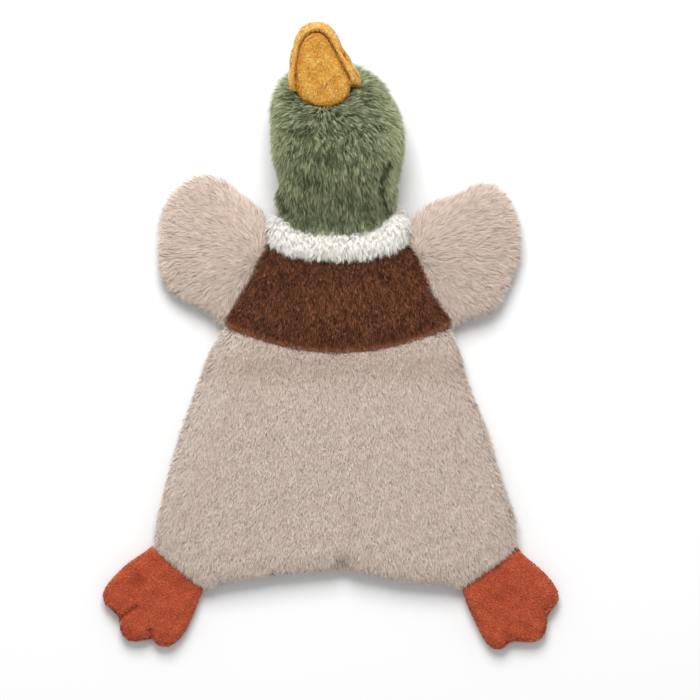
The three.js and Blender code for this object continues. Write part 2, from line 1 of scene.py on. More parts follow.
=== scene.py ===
import json
import math

import bmesh
import bpy
import numpy as np
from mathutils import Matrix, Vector
from mathutils.bvhtree import BVHTree


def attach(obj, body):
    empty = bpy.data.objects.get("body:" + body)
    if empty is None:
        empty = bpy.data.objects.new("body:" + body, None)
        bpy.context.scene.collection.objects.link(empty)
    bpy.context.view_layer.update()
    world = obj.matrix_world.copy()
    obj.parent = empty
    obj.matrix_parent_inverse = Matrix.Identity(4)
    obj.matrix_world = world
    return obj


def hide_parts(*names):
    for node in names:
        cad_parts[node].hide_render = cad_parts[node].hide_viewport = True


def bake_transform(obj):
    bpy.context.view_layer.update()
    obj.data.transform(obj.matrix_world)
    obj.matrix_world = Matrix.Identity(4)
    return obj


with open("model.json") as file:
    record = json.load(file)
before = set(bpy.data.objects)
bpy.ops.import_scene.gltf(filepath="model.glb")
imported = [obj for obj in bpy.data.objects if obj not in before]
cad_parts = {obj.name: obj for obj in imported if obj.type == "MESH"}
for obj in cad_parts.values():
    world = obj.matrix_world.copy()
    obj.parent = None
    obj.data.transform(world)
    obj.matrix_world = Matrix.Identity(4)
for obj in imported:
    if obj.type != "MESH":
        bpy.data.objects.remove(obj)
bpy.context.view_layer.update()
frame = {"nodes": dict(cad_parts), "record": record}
mm = 0.001

# Camera: straight above the toy, with a long lens
view_width = 445.9 * mm
view_centre = (7.6 * mm, 67.5 * mm)
camera_height = 10.0
sensor_width = 36.0
camera_reach = 50.0

# Lamps
world_level = 0.61
key_size = 1.1
key_power = 43.0
key_place = (-0.12, 1.35, 1.45)
key_aim = (0.0, 0.05, 0.0)

# Floor
floor_half = 6.0
floor_colour = (0.79, 0.79, 0.79)

# Least lengths, which keep a direction where a vector is nearly zero
least_length = 1e-12
along_nudge = 1e-6
side_nudge = 1e-9

# Noise and smoothing
wave_count = 14
wave_size_shares = (0.7, 1.6)
mottle_size = 7.0 * mm
smooth_pull_share = 0.5

# Strands: how they vary, and how many of them one piece holds
strands_in_piece = 36000
floor_clearance = 0.25 * mm
stand_share = 0.35  # of the full lean, where the pile lies along the surface normal
length_spread_share = 0.2
length_limit_shares = (0.5, 1.35)
flattest_lean = 1.45
pull_limit_shares = (0.6, 1.2)
pull_power = 1.3
cell_bend_share = 0.35
cell_bend_cells = 3
taper_share = 0.55
# how quickly the painted light on pile that faces sideways fades as the surface turns up or down
roll_spread = 0.7
side_light_power = 1.5
down_limit_share = 0.3  # a normal that points down by more than this counts as facing down
uv_limit_shares = (0.01, 0.99)
uv_spread_share = 0.004


# Mesh helpers

def link(obj):
    bpy.context.scene.collection.objects.link(obj)
    return obj


def points_of(mesh):
    flat = np.empty(len(mesh.vertices) * 3)
    mesh.vertices.foreach_get("co", flat)
    return flat.reshape(-1, 3)


def edges_of(mesh):
    flat = np.empty(len(mesh.edges) * 2, dtype=np.int64)
    mesh.edges.foreach_get("vertices", flat)
    return flat.reshape(-1, 2)


def triangles_of(mesh):
    mesh.calc_loop_triangles()
    flat = np.empty(len(mesh.loop_triangles) * 3, dtype=np.int64)
    mesh.loop_triangles.foreach_get("vertices", flat)
    return flat.reshape(-1, 3)


def unit(vectors):
    length = np.linalg.norm(vectors, axis=-1, keepdims=True)
    return vectors / np.maximum(length, least_length)


def normals_of(points, triangles):
    a, b, c = (points[triangles[:, k]] for k in range(3))
    face = np.cross(b - a, c - a)
    total = np.zeros_like(points)
    for k in range(3):
        for axis in range(3):
            total[:, axis] += np.bincount(triangles[:, k], face[:, axis], len(points))
    return unit(total)


def smoothed(points, edges, rounds):
    count = np.bincount(edges.ravel(), minlength=len(points))[:, None]
    for _ in range(rounds):
        total = np.zeros_like(points)
        for axis in range(3):
            for near, far in ((0, 1), (1, 0)):
                total[:, axis] += np.bincount(edges[:, near], points[edges[:, far], axis], len(points))
        points = points + smooth_pull_share * (total / np.maximum(count, 1) - points)
    return points


def waves(points, size, seed):
    """Smooth noise of about -1 to 1: plane waves about one size long, in all directions."""
    dice = np.random.default_rng(seed)
    total = np.zeros(len(points))
    for _ in range(wave_count):
        way = unit(dice.normal(size=3))
        length = size * dice.uniform(*wave_size_shares)
        total += np.sin(points @ way * (2 * math.pi / length) + dice.uniform(0, 2 * math.pi))
    return total / math.sqrt(wave_count / 2)


# Skins of pads, and how points lie to surfaces and paths

def voxel_skin(nodes, voxel):
    """The outer surface round some CAD nodes, as points and triangles."""
    bm = bmesh.new()
    for node in nodes:
        bm.from_mesh(frame["nodes"][node].data)
    mesh = bpy.data.meshes.new("pad")
    bm.to_mesh(mesh)
    bm.free()
    pad = link(bpy.data.objects.new("pad", mesh))
    remesh = pad.modifiers.new("remesh", "REMESH")
    remesh.mode = "VOXEL"
    remesh.voxel_size = voxel
    shape = bpy.data.meshes.new_from_object(pad.evaluated_get(bpy.context.evaluated_depsgraph_get()))
    points, edges, triangles = points_of(shape), edges_of(shape), triangles_of(shape)
    bpy.data.objects.remove(pad)
    bpy.data.meshes.remove(mesh)
    bpy.data.meshes.remove(shape)
    return largest_part(points, edges, triangles)


def largest_part(points, edges, triangles):
    label = np.arange(len(points))
    while True:
        low = np.minimum(label[edges[:, 0]], label[edges[:, 1]])
        new = label.copy()
        np.minimum.at(new, edges[:, 0], low)
        np.minimum.at(new, edges[:, 1], low)
        new = new[new]
        if np.array_equal(new, label):
            break
        label = new
    spans = {part: np.ptp(points[label == part], axis=0).prod() for part in np.unique(label)}
    keep = label == max(spans, key=spans.get)
    number = np.cumsum(keep) - 1
    return points[keep], number[edges[keep[edges[:, 0]]]], number[triangles[keep[triangles[:, 0]]]]


def joined(shapes):
    """Several surfaces as one: points and triangles."""
    starts = np.cumsum([0] + [len(points) for points, _ in shapes])
    triangles = [faces + start for (_, faces), start in zip(shapes, starts)]
    return np.concatenate([points for points, _ in shapes]), np.concatenate(triangles)


def cad_shape(nodes):
    """The surfaces of some CAD nodes."""
    meshes = [frame["nodes"][node].data for node in nodes]
    return joined([(points_of(mesh), triangles_of(mesh)) for mesh in meshes])


def distances(points, shape):
    tree = BVHTree.FromPolygons(shape[0].tolist(), shape[1].tolist())
    return np.array([tree.find_nearest(Vector(point))[3] for point in points])


def nearest_panel(points, nodes):
    """For each point, the number of the CAD node whose surface is nearest."""
    return np.argmin([distances(points, cad_shape([node])) for node in nodes], axis=0)


def outside(points, shape, margin):
    """True for each point that is farther than the margin from the inside of a closed surface."""
    tree = BVHTree.FromPolygons(shape[0].tolist(), shape[1].tolist())
    low, high = shape[0].min(axis=0) - margin, shape[0].max(axis=0) + margin
    clear = np.ones(len(points), dtype=bool)
    for number in np.flatnonzero(np.all((points > low) & (points < high), axis=1)):
        point = Vector(points[number])
        place, normal, _, distance = tree.find_nearest(point)
        clear[number] = distance > margin and (point - place).dot(normal) > 0
    return clear


def smooth_step(values, low, high):
    share = np.clip((values - low) / (high - low), 0.0, 1.0)
    return share * share * (3 - 2 * share)


def path_distance(points, path):
    """Distance in plan from each point to a path of two or more places."""
    best = np.full(len(points), np.inf)
    for start, end in zip(path[:-1], path[1:]):
        start, end = np.array(start) * mm, np.array(end) * mm
        way = end - start
        share = np.clip((points[:, :2] - start) @ way / (way @ way), 0.0, 1.0)
        best = np.minimum(best, np.linalg.norm(points[:, :2] - start - share[:, None] * way, axis=1))
    return best


def mesh_piece(name, points, faces):
    mesh = bpy.data.meshes.new(name)
    mesh.from_pydata(points.tolist(), [], faces.tolist())
    for polygon in mesh.polygons:
        polygon.use_smooth = True
    mesh.update()
    return link(bpy.data.objects.new(name, mesh))


def cloth_piece(name, points, triangles, thickness):
    """A panel as cloth: the given faces, thickened inwards."""
    used = np.unique(triangles)
    number = np.full(len(points), -1)
    number[used] = np.arange(len(used))
    piece = mesh_piece(name, points[used], number[triangles])
    solid = piece.modifiers.new("cloth", "SOLIDIFY")
    solid.thickness = thickness
    solid.offset = -1.0
    return piece


# Strands of pile

def scatter(points, normals, triangles, per_mm2, dice):
    """Roots spread evenly over triangles, with their smooth normals."""
    a, b, c = (points[triangles[:, k]] for k in range(3))
    area = np.linalg.norm(np.cross(b - a, c - a), axis=1) / 2
    count = int(area.sum() / mm**2 * per_mm2)
    pick = dice.choice(len(triangles), size=count, p=area / area.sum())
    u = np.sqrt(dice.random(count))
    v = dice.random(count)
    weights = np.stack([1 - u, u * (1 - v), u * v], axis=1)[:, :, None]
    roots = (points[triangles[pick]] * weights).sum(axis=1)
    ups = unit((normals[triangles[pick]] * weights).sum(axis=1))
    return roots, ups


def clump_of(roots, size, seed):
    """For each root, the number of its clump's leading strand: the first in the same crooked cell."""
    bends = [waves(roots, cell_bend_cells * size, seed + axis) for axis in range(3)]
    bent = roots + cell_bend_share * size * np.stack(bends, axis=1)
    turn = np.linalg.qr(np.random.default_rng(seed).normal(size=(3, 3)))[0]
    cells = np.floor(bent @ turn / size).astype(np.int64)
    cells -= cells.min(axis=0)
    reach = cells.max(axis=0) + 1
    number = (cells[:, 0] * reach[1] + cells[:, 1]) * reach[2] + cells[:, 2]
    _, first, mine = np.unique(number, return_index=True, return_inverse=True)
    return first[mine.ravel()]


def turned_about(vectors, axes, angles):
    cos, sin = np.cos(angles)[:, None], np.sin(angles)[:, None]
    return vectors * cos + np.cross(axes, vectors) * sin


def grow(roots, ups, flow, kind, seed):
    """Strand centre lines, one row of points from root to tip for each root."""
    dice = np.random.default_rng(seed)
    count = len(roots)
    clump = clump_of(roots, math.sqrt(kind["per_clump"] / kind["per_mm2"]) * mm, seed + 3)
    along = flow - (flow * ups).sum(axis=1, keepdims=True) * ups
    slope = np.minimum(np.linalg.norm(along, axis=1), 1.0)
    along = unit(along + along_nudge)
    uphill = stand_share + (1 - stand_share) * slope
    swirl = kind["swirl"] * waves(roots, mottle_size, seed + 1)
    swirl += kind["clump_swirl"] * dice.normal(size=count)[clump]
    swirl += kind["strand_swirl"] * dice.normal(size=count)
    along = turned_about(along, ups, swirl)
    lift = kind["lift"] * waves(roots, mottle_size, seed + 2)
    lift += kind["clump_lift"] * dice.normal(size=count)[clump]
    lift += kind["strand_lift"] * dice.normal(size=count)
    length_share = 1 + kind["clump_length"] * dice.normal(size=count)[clump]
    length_share += length_spread_share * dice.normal(size=count)
    length = kind["length"] * np.clip(length_share, *length_limit_shares)
    steps = kind["steps"]
    line = np.zeros((count, steps + 1, 3))
    line[:, 0] = roots
    for step in range(steps):
        share = (step + 0.5) / steps
        angle = (kind["lean"] + (kind["bend"] - kind["lean"]) * share) * uphill - lift
        angle = np.clip(angle, 0.0, flattest_lean)
        way = np.cos(angle)[:, None] * ups + np.sin(angle)[:, None] * along
        line[:, step + 1] = line[:, step] + way * (length / steps)[:, None]
    pull = kind["pull"] * dice.uniform(*pull_limit_shares, size=count)
    for step in range(1, steps + 1):
        share = (step / steps) ** pull_power
        line[:, step] += (pull * share)[:, None] * (line[clump, step] - line[:, step])
    line[:, :, 2] = np.maximum(line[:, :, 2], floor_clearance)
    return line, clump


def strand_mesh(name, line, ups, tone, kind, dice):
    """Thin tapered ribbons along the centre lines, with a UV map of tone and place along the strand."""
    count, steps = len(line), line.shape[1] - 1
    heading = unit(line[:, -1] - line[:, 0])
    side = unit(np.cross(heading, ups) + side_nudge)
    side = turned_about(side, heading, dice.normal(size=count) * roll_spread)
    facing = np.cross(side, heading)
    facing *= np.sign((facing * ups).sum(axis=1))[:, None]
    rows = 2 * steps + 1
    points = np.empty((count, rows, 3))
    for step in range(steps):
        half = side * kind["width"] / 2 * (1 - taper_share * (step / steps) ** 2)
        points[:, 2 * step] = line[:, step] - half
        points[:, 2 * step + 1] = line[:, step] + half
    points[:, -1] = line[:, -1]
    corners, starts = [], []
    for step in range(steps - 1):
        starts.append(len(corners))
        for row in (2 * step, 2 * step + 1, 2 * step + 3, 2 * step + 2):
            corners.append(row)
    starts.append(len(corners))
    corners += [2 * steps - 2, 2 * steps - 1, 2 * steps]
    corners, starts = np.array(corners), np.array(starts)
    sides = (-uv_spread_share, uv_spread_share)
    sway = np.array([0.0 if row == 2 * steps else sides[row % 2] for row in corners])
    rise = np.array([row // 2 / steps for row in corners])
    mesh = bpy.data.meshes.new(name)
    mesh.vertices.add(count * rows)
    mesh.vertices.foreach_set("co", points.ravel())
    mesh.loops.add(count * len(corners))
    first = np.arange(count)[:, None]
    mesh.loops.foreach_set("vertex_index", (corners[None] + first * rows).ravel().astype(np.int32))
    mesh.polygons.add(count * len(starts))
    loop_start = (starts[None] + first * len(corners)).ravel().astype(np.int32)
    mesh.polygons.foreach_set("loop_start", loop_start)
    uv = np.empty((count, len(corners), 2))
    low, high = uv_limit_shares
    uv[:, :, 0] = np.clip(tone, low, high)[:, None] + sway[None]
    uv[:, :, 1] = low + (high - low) * rise[None]
    layer = mesh.uv_layers.new(name="OFBake")
    layer.data.foreach_set("uv", uv.ravel())
    mesh.polygons.foreach_set("use_smooth", np.ones(count * len(starts), dtype=bool))
    mesh.update(calc_edges=True)
    level = np.zeros_like(ups)
    level[:, 2] = np.sign(ups[:, 2] + down_limit_share)
    shade = (1 - kind["facing_share"] - kind["level_share"]) * ups
    shade = unit(shade + kind["facing_share"] * facing + kind["level_share"] * level)
    mesh.normals_split_custom_set_from_vertices(np.repeat(shade, rows, axis=0))
    return link(bpy.data.objects.new(name, mesh))


# Materials

pile_roughness = 0.85
pile_sheen = 0.25
soft_roughness = 0.9
soft_specular = 0.25
sheen_roughness = 0.5
# Painted shade within the pile: along each strand the colour falls from full at the tip to this share at this
# place, and lower at the root
shaft_place_share = 0.55
shaft_shade_share = 0.92
grain_limit_shares = (0.3, 0.7)
colour_detail = 3.0
bump_detail = 2.0


def plain_material(name, roughness, sheen=0.0):
    material = bpy.data.materials.new(name)
    material.use_nodes = True
    shader = material.node_tree.nodes["Principled BSDF"]
    shader.inputs["Roughness"].default_value = roughness
    shader.inputs["Specular IOR Level"].default_value = soft_specular
    shader.inputs["Sheen Weight"].default_value = sheen
    shader.inputs["Sheen Roughness"].default_value = sheen_roughness
    return material, material.node_tree, shader


def ramp_node(tree, stops):
    ramp = tree.nodes.new("ShaderNodeValToRGB")
    elements = ramp.color_ramp.elements
    while len(elements) < len(stops):
        elements.new(0.5)
    for element, (place, colour) in zip(elements, stops):
        element.position = place
        element.color = (*colour, 1.0)
    return ramp


def fur_material(name, dark, middle, light, root, sheen=pile_sheen):
    """Pile: U picks the strand's tone, V darkens it towards the root as painted shade within the pile."""
    material, tree, shader = plain_material(name, pile_roughness, sheen)
    place = tree.nodes.new("ShaderNodeUVMap")
    place.uv_map = "OFBake"
    split = tree.nodes.new("ShaderNodeSeparateXYZ")
    tree.links.new(place.outputs["UV"], split.inputs[0])
    tone = ramp_node(tree, [(0.0, dark), (0.5, middle), (1.0, light)])
    tree.links.new(split.outputs["X"], tone.inputs["Fac"])
    shaft = max(shaft_shade_share, root)
    depth = ramp_node(tree, [(0.0, (root,) * 3), (shaft_place_share, (shaft,) * 3), (1.0, (1.0,) * 3)])
    tree.links.new(split.outputs["Y"], depth.inputs["Fac"])
    mix = tree.nodes.new("ShaderNodeMix")
    mix.data_type = "RGBA"
    mix.blend_type = "MULTIPLY"
    mix.inputs[0].default_value = 1.0
    tree.links.new(tone.outputs["Color"], mix.inputs["A"])
    tree.links.new(depth.outputs["Color"], mix.inputs["B"])
    tree.links.new(mix.outputs["Result"], shader.inputs["Base Color"])
    return material


def noise_material(name, dark, light, size, roughness=pile_roughness, sheen=0.0, bump=0.0, bump_size=mm):
    """Colour and bump from noise in the object's own space; sizes are those of the grain."""
    material, tree, shader = plain_material(name, roughness, sheen)
    place = tree.nodes.new("ShaderNodeTexCoord")
    noise = tree.nodes.new("ShaderNodeTexNoise")
    noise.inputs["Scale"].default_value = 1.0 / size
    noise.inputs["Detail"].default_value = colour_detail
    tree.links.new(place.outputs["Object"], noise.inputs["Vector"])
    ramp = ramp_node(tree, list(zip(grain_limit_shares, (dark, light))))
    tree.links.new(noise.outputs["Fac"], ramp.inputs["Fac"])
    tree.links.new(ramp.outputs["Color"], shader.inputs["Base Color"])
    if bump:
        grain = tree.nodes.new("ShaderNodeTexNoise")
        grain.inputs["Scale"].default_value = 1.0 / bump_size
        grain.inputs["Detail"].default_value = bump_detail
        tree.links.new(place.outputs["Object"], grain.inputs["Vector"])
        relief = tree.nodes.new("ShaderNodeBump")
        relief.inputs["Strength"].default_value = 1.0
        relief.inputs["Distance"].default_value = bump
        tree.links.new(grain.outputs["Fac"], relief.inputs["Height"])
        tree.links.new(relief.outputs["Normal"], shader.inputs["Normal"])
    return material


def dress(piece, material):
    piece.data.materials.clear()
    piece.data.materials.append(material)


# Pile: the colours of a dark, a middle and a light strand, and how much of them painted shade leaves at the
# root
taupe = fur_material("taupe_pile", (0.64, 0.505, 0.42), (0.8, 0.655, 0.555), (0.95, 0.83, 0.73), 0.72)
brown = fur_material("brown_pile", (0.03, 0.008, 0.003), (0.13, 0.036, 0.011), (0.46, 0.17, 0.07), 0.3)
green = fur_material("green_pile", (0.046, 0.058, 0.022), (0.195, 0.225, 0.105), (0.58, 0.63, 0.37), 0.18)
white = fur_material("white_pile", (0.95, 0.925, 0.85), (0.985, 0.97, 0.905), (1.0, 0.99, 0.95), 0.99, 0.6)
rust_pile = fur_material("rust_pile", (0.42, 0.055, 0.018), (0.66, 0.12, 0.044), (0.85, 0.23, 0.1), 0.75)
yellow_pile = fur_material(
    "yellow_pile", (0.56, 0.2, 0.022), (0.8, 0.48, 0.092), (0.98, 0.75, 0.29), 0.75, sheen=0.0
)
rim_pile = fur_material(
    "rim_pile", (0.84, 0.29, 0.02), (0.98, 0.62, 0.15), (1.0, 0.86, 0.42), 0.85, sheen=0.0
)
taupe_knit = noise_material("taupe_knit", (0.42, 0.33, 0.27), (0.52, 0.42, 0.35), 1.2 * mm)
brown_knit = noise_material("brown_knit", (0.035, 0.013, 0.007), (0.06, 0.024, 0.012), 1.2 * mm)
green_knit = noise_material("green_knit", (0.045, 0.055, 0.025), (0.085, 0.1, 0.05), 1.2 * mm)
white_knit = noise_material("white_knit", (0.92, 0.9, 0.85), (0.97, 0.96, 0.92), 1.2 * mm)
rust = noise_material(
    "rust_velour", (0.28, 0.036, 0.012), (0.42, 0.07, 0.025), 1.0 * mm,
    roughness=soft_roughness, sheen=0.3, bump=0.35 * mm, bump_size=0.9 * mm,
)
yellow = noise_material(
    "yellow_velour", (0.46, 0.19, 0.03), (0.67, 0.34, 0.065), 0.9 * mm,
    roughness=soft_roughness, bump=0.4 * mm, bump_size=0.8 * mm,
)
fibre = noise_material(
    "polyester_fibre", (0.8, 0.8, 0.78), (0.9, 0.9, 0.88), 2.0 * mm,
    roughness=0.95, sheen=0.2, bump=0.5 * mm, bump_size=1.0 * mm,
)
film = noise_material(
    "crinkle_film", (0.68, 0.72, 0.75), (0.78, 0.8, 0.83), 6.0 * mm,
    roughness=0.35, bump=0.8 * mm, bump_size=7.0 * mm,
)
plastic = noise_material(
    "white_plastic", (0.76, 0.76, 0.74), (0.82, 0.82, 0.8), 4.0 * mm,
    roughness=0.4, bump=0.02 * mm, bump_size=0.5 * mm,
)
black = noise_material(
    "black_plastic", (0.006, 0.005, 0.004), (0.012, 0.009, 0.008), 3.0 * mm, roughness=0.08
)

# The beak's velour has no shine, which would grey its crease
for material in (yellow_pile, rim_pile, yellow):
    material.node_tree.nodes["Principled BSDF"].inputs["Specular IOR Level"].default_value = 0.0

# Ways in which the pile lies

spread_size = 100.0 * mm
body_spread_share = 0.35
chest_spread_share = 0.5
collar_spread_share = 0.3
head_spread_share = 0.55
head_root = np.array([-9.0, 228.0]) * mm
head_fan_reach = (16.0 * mm, 42.0 * mm)
head_drift = np.array([0.15, 0.0, 0.0])
wing_root = np.array([44.0, 118.0]) * mm
wing_droop = np.array([0.0, -0.35, 0.0])
wing_seam = np.array([71.0, 84.0, 13.0]) * mm
wing_seam_width = 7.0 * mm
wing_seam_pull = 1.7
wing_outward = np.array([0.8793, 0.4762, 0.0])
mirror = np.array([-1.0, 1.0, 1.0])


def fan(points, centre):
    way = np.zeros_like(points)
    way[:, :2] = points[:, :2] - centre
    return unit(way)


def down_flow(points, spread_share):
    """Towards the feet, and outwards at the sides."""
    way = np.zeros_like(points)
    way[:, 0] = spread_share * points[:, 0] / spread_size
    way[:, 1] = -1.0
    return unit(way)


def body_flow(points):
    return down_flow(points, body_spread_share)


def chest_flow(points):
    return down_flow(points, chest_spread_share)


def collar_flow(points):
    return down_flow(points, collar_spread_share)


def head_flow(points):
    """Away from the beak near it, and down towards the collar farther off."""
    away = np.linalg.norm(points[:, :2] - head_root, axis=1)
    share = smooth_step(away, *head_fan_reach)[:, None]
    down = down_flow(points, head_spread_share) + head_drift
    return unit(fan(points, head_root) * (1 - share) + down * share)


def right_wing_flow(points):
    """Outwards like a fan, but over the chest seam along the wing's inner edge."""
    seam_share = 1 - smooth_step((points - wing_seam) @ wing_outward, 0.0, wing_seam_width)
    over = wing_droop - wing_seam_pull * seam_share[:, None] * wing_outward
    return unit(fan(points, wing_root) + over)


def left_wing_flow(points):
    return right_wing_flow(points * mirror) * mirror


# Kinds of pile, by lengths in metres and angles in radians. Of the shading normal, facing_share comes
# from the strand itself, and level_share points straight up or down, as light passes through a rim's pile.
# The tone added to pile on a surface that faces sideways is painted light.

short_pile = {
    "length": 4.2 * mm, "width": 0.17 * mm, "steps": 2, "per_mm2": 10.5, "per_clump": 3, "pull": 0.42,
    "lean": 0.55, "bend": 1.15, "swirl": 0.14, "clump_swirl": 0.25, "strand_swirl": 0.15,
    "lift": 0.02, "clump_lift": 0.08, "strand_lift": 0.07, "clump_length": 0.12, "side_light_tone": 0.3,
    "clump_tone": 0.25, "strand_tone": 0.12, "patch_tone": 0.06, "facing_share": 0.14, "level_share": 0.5,
}
wing_pile = {
    **short_pile, "length": 6.2 * mm, "per_mm2": 8.5, "lean": 0.65, "bend": 1.25, "swirl": 0.16,
    "clump_swirl": 0.14, "clump_lift": 0.06,
}
chest_pile = {
    **short_pile, "length": 3.7 * mm, "width": 0.15 * mm, "per_mm2": 13.0, "lean": 0.5, "bend": 1.1,
    "strand_swirl": 0.22, "clump_length": 0.25, "side_light_tone": 0.4, "clump_tone": 0.34, "strand_tone": 0.32,
    "level_share": 0.35,
}
head_pile = {
    **short_pile, "length": 7.0 * mm, "width": 0.2 * mm, "per_mm2": 8.5, "per_clump": 5, "pull": 0.5,
    "lean": 0.6, "bend": 1.2, "swirl": 0.15, "clump_swirl": 0.2, "side_light_tone": 0.8, "clump_tone": 0.42,
    "strand_tone": 0.22, "patch_tone": 0.1, "facing_share": 0.2, "level_share": 0.35,
}
collar_pile = {
    **short_pile, "length": 6.0 * mm, "width": 0.2 * mm, "per_mm2": 8.0, "per_clump": 12, "pull": 0.6,
    "lean": 1.05, "bend": 1.38, "swirl": 0.3, "clump_swirl": 0.35, "clump_lift": 0.12,
    "clump_length": 0.22, "clump_tone": 0.35, "facing_share": 0.35, "level_share": 0.35,
}

# Pads: the skin lies inside the pile's reach, and moves less beside a seam with a neighbour

pad_voxel = 2.4 * mm
fine_voxel = 1.8 * mm
skin_rounds = 3
room_rounds = 4
sunk_rounds = 2
reach_share = 0.85
seam_hold_share = 0.12
seam_start = 1.0 * mm
seam_reach = 12.0 * mm
skin_floor = 1.5 * mm
fur_cloth_thickness = 0.9 * mm
under_share = 0.5  # of the front's density, on the underside
seed_step = 20
bill_margin = 0.4 * mm
eye_margin = 1.0 * mm
subparts = frame["record"]["subparts"]
soft_panels = [row["node"] for row in subparts if row["material_slot"].endswith(("fur", "velour"))]


def fur_pieces(name, points, normals, triangles, flow, kind, material, seed, clear_of=(), shade=None):
    dice = np.random.default_rng(seed)
    roots, ups = scatter(points, normals, triangles, kind["per_mm2"], dice)
    line, clump = grow(roots, ups, flow(roots), kind, seed + 1)
    tone = 0.5 + kind["patch_tone"] * waves(roots, mottle_size, seed + 5)
    tone += kind["strand_tone"] * dice.normal(size=len(roots))
    tone += kind["clump_tone"] * dice.normal(size=len(roots))[clump]
    # Painted light: pile on a surface that faces sideways gets a lighter tone
    tone += kind["side_light_tone"] * (1 - np.abs(ups[:, 2])) ** side_light_power
    if shade:
        tone += shade(roots)
    for shape, margin in clear_of:
        keep = outside(line[:, 0], shape, margin)
        for step in range(1, line.shape[1]):
            keep &= outside(line[:, step], shape, margin)
        line, ups, tone, roots = line[keep], ups[keep], tone[keep], roots[keep]
    order = np.argsort(roots[:, 0], kind="stable")
    chunks = max(1, math.ceil(len(roots) / strands_in_piece))
    pieces = []
    for number, chunk in enumerate(np.array_split(order, chunks)):
        piece = strand_mesh(f"{name}_{number + 1}", line[chunk], ups[chunk], tone[chunk], kind, dice)
        dress(piece, material)
        pieces.append(piece)
    return pieces


def pile_room(points, normals, flow, kind):
    """How far the skin lies inside the pile's surface: less where the pile lies flat."""
    way = flow(points)
    along = way - (way * normals).sum(axis=1, keepdims=True) * normals
    slope = np.minimum(np.linalg.norm(along, axis=1), 1.0)
    angle = (kind["lean"] + kind["bend"]) / 2 * (stand_share + (1 - stand_share) * slope)
    return kind["length"] * np.cos(angle) * reach_share


def crease_dip(points, creases):
    """How deep the creases run at each point."""
    depth = np.zeros(len(points))
    for path, deep, wide in creases:
        depth += deep * np.exp(-(path_distance(points, path) / wide) ** 2)
    return depth


def tugged(points, tugs):
    """The points, pulled by tugs: each a place in plan, a move and a reach, in millimetres."""
    for spot, move, reach in tugs:
        away = np.linalg.norm(points[:, :2] - np.array(spot) * mm, axis=1) / (reach * mm)
        points = points + np.exp(-away ** 2)[:, None] * np.array(move) * mm
    return points


def fur_pad(
    panels, flow, kind, pile, knit, place, seed, voxel=pad_voxel, creases=(), tugs=(),
    clear_of=(), shade=None,
):
    """Skins and pile for the panels of one pad. place makes a finished piece ride or blend."""
    points, edges, triangles = voxel_skin(panels, voxel)
    points = smoothed(points, edges, skin_rounds)
    owner = nearest_panel(points[triangles].mean(axis=1), panels)
    others = [node for node in soft_panels if node not in panels]
    hold = smooth_step(distances(points, cad_shape(others)), seam_start, seam_reach)
    normals = normals_of(points, triangles)
    room = pile_room(points, normals, flow, kind)[:, None].repeat(3, axis=1)
    room = smoothed(room, edges, room_rounds)[:, :1]
    inward = -normals * room
    inward[:, :2] *= (seam_hold_share + (1 - seam_hold_share) * hold)[:, None]
    points = tugged(smoothed(points + inward, edges, sunk_rounds), tugs)
    normals = normals_of(points, triangles)
    points -= normals * (crease_dip(points, creases) * (normals[:, 2] > 0))[:, None]
    points[:, 2] = np.maximum(points[:, 2], skin_floor)
    normals = normals_of(points, triangles)
    for number, (panel, density_share) in enumerate(zip(panels, (1.0, under_share))):
        mine = triangles[owner == number]
        skin = cloth_piece(f"{panel}_cloth", points, mine, fur_cloth_thickness)
        dress(skin, knit)
        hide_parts(panel)
        place(skin)
        grown_kind = {**kind, "per_mm2": kind["per_mm2"] * density_share}
        grown = fur_pieces(
            f"{panel}_pile", points, normals, mine, flow, grown_kind, pile, seed + seed_step * number,
            clear_of, shade,
        )
        for piece in grown:
            place(piece)


# How pieces follow the bodies


def rides(body):
    return lambda piece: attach(piece, body)


def blends():
    return lambda piece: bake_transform(piece)


def fold():
    """Fixes a piece where it stands, with its transform baked into its mesh, as blends() does."""
    return blends()


waist = fold()
neck = fold()
left_wing = fold()
right_wing = fold()
left_foot = fold()
right_foot = fold()

# Creases and dimples: a path in plan in millimetres, a depth and a width

body_creases = [
    ([(3.2, -69.4), (3.2, -66.0)], 4.0 * mm, 5.0 * mm),
    ([(37.6, 17.2), (38.5, 15.0)], 2.0 * mm, 3.0 * mm),
    ([(8.9, -42.7), (10.0, -44.0)], 1.6 * mm, 3.0 * mm),
]
head_creases = [
    ([(31.0, 191.0), (25.2, 178.0), (27.5, 166.0), (31.5, 156.0)], 1.6 * mm, 1.8 * mm),
    ([(-35.0, 173.0), (-32.5, 162.0), (-34.0, 152.0)], 0.9 * mm, 1.4 * mm),
]

# Tugs: where the cloth is pulled out of its even shape

left_wing_tugs = [
    ((-86.0, 177.0), (0.0, 1.8, 0.0), 10.0),
    ((-57.0, 169.5), (-1.5, -2.6, 0.0), 11.0),
    ((-114.0, 142.5), (1.3, 0.0, 0.0), 14.0),
    ((-56.5, 118.0), (2.5, 0.0, 0.8), 16.0),
]
right_wing_tugs = [
    ((60.5, 102.5), (-4.0, 0.0, 1.5), 11.0),
    ((46.0, 148.0), (-2.2, 0.0, 0.0), 9.0),
    ((71.0, 167.5), (0.8, -2.2, 0.0), 10.0),
    ((116.5, 144.0), (-1.5, 0.0, 0.0), 14.0),
]
chest_tugs = [((2.0, 118.0), (0.0, 3.5, 0.0), 26.0)]
collar_tugs = [
    ((2.0, 120.0), (0.0, 3.5, 0.0), 26.0),
    ((36.0, 150.0), (0.0, 4.5, 0.0), 10.0),
    ((-38.0, 150.0), (0.0, 1.0, 0.0), 9.0),
]
